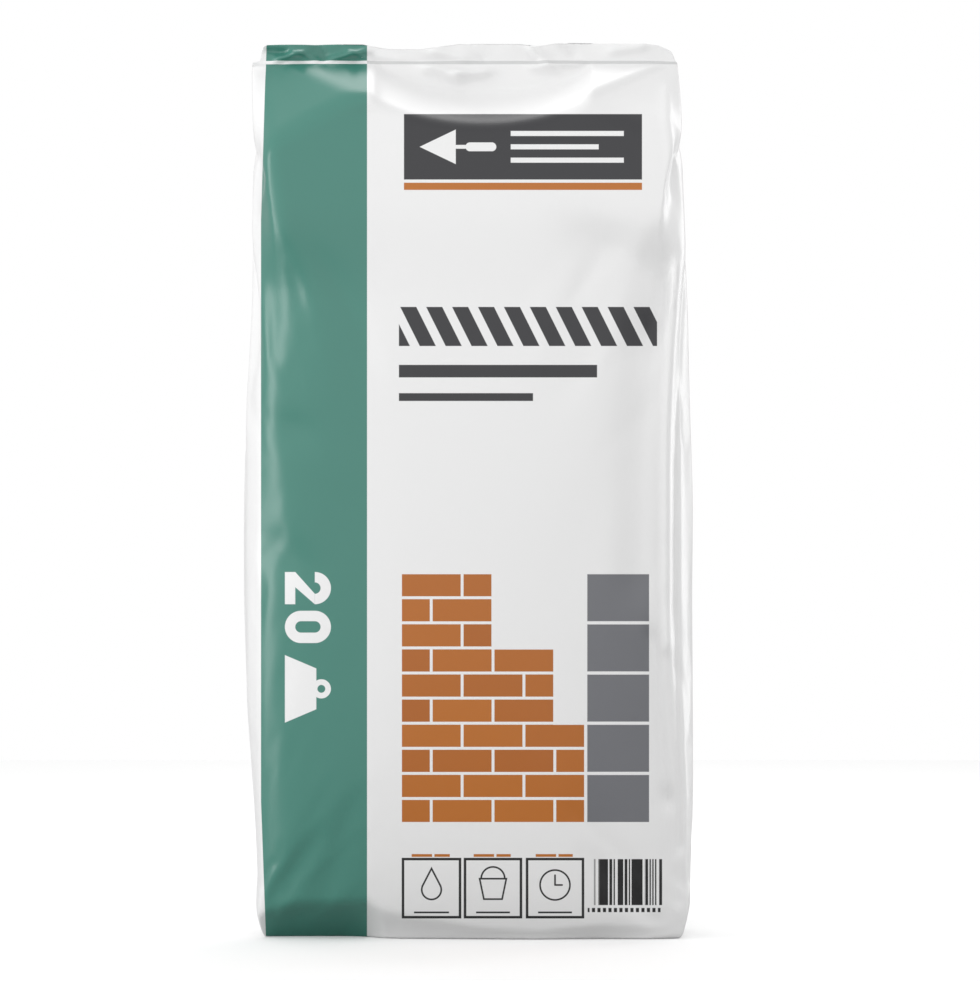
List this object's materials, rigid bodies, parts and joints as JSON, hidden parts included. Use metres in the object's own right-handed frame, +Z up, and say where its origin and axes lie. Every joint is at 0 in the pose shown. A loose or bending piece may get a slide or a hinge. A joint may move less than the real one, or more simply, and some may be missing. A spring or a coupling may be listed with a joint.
{
  "type": "cement bag",
  "caption": "Filled plastic-film cement sack with side gussets, a weld and short film fin across the top, and a flat folded base it stands on.",
  "frame": {"origin": "the middle of the base, on the floor that the sack stands on", "axes": "+Z up to the fin, +X to the right as one faces the printed panel, -Y out of the printed panel"},
  "size_m": [0.2914, 0.127, 0.578],
  "materials": {
    "printed_film": "satin white film with printed colours"
  },
  "bodies": {
    "root": {"filled_sack": "printed_film"}
  },
  "joints": []
}
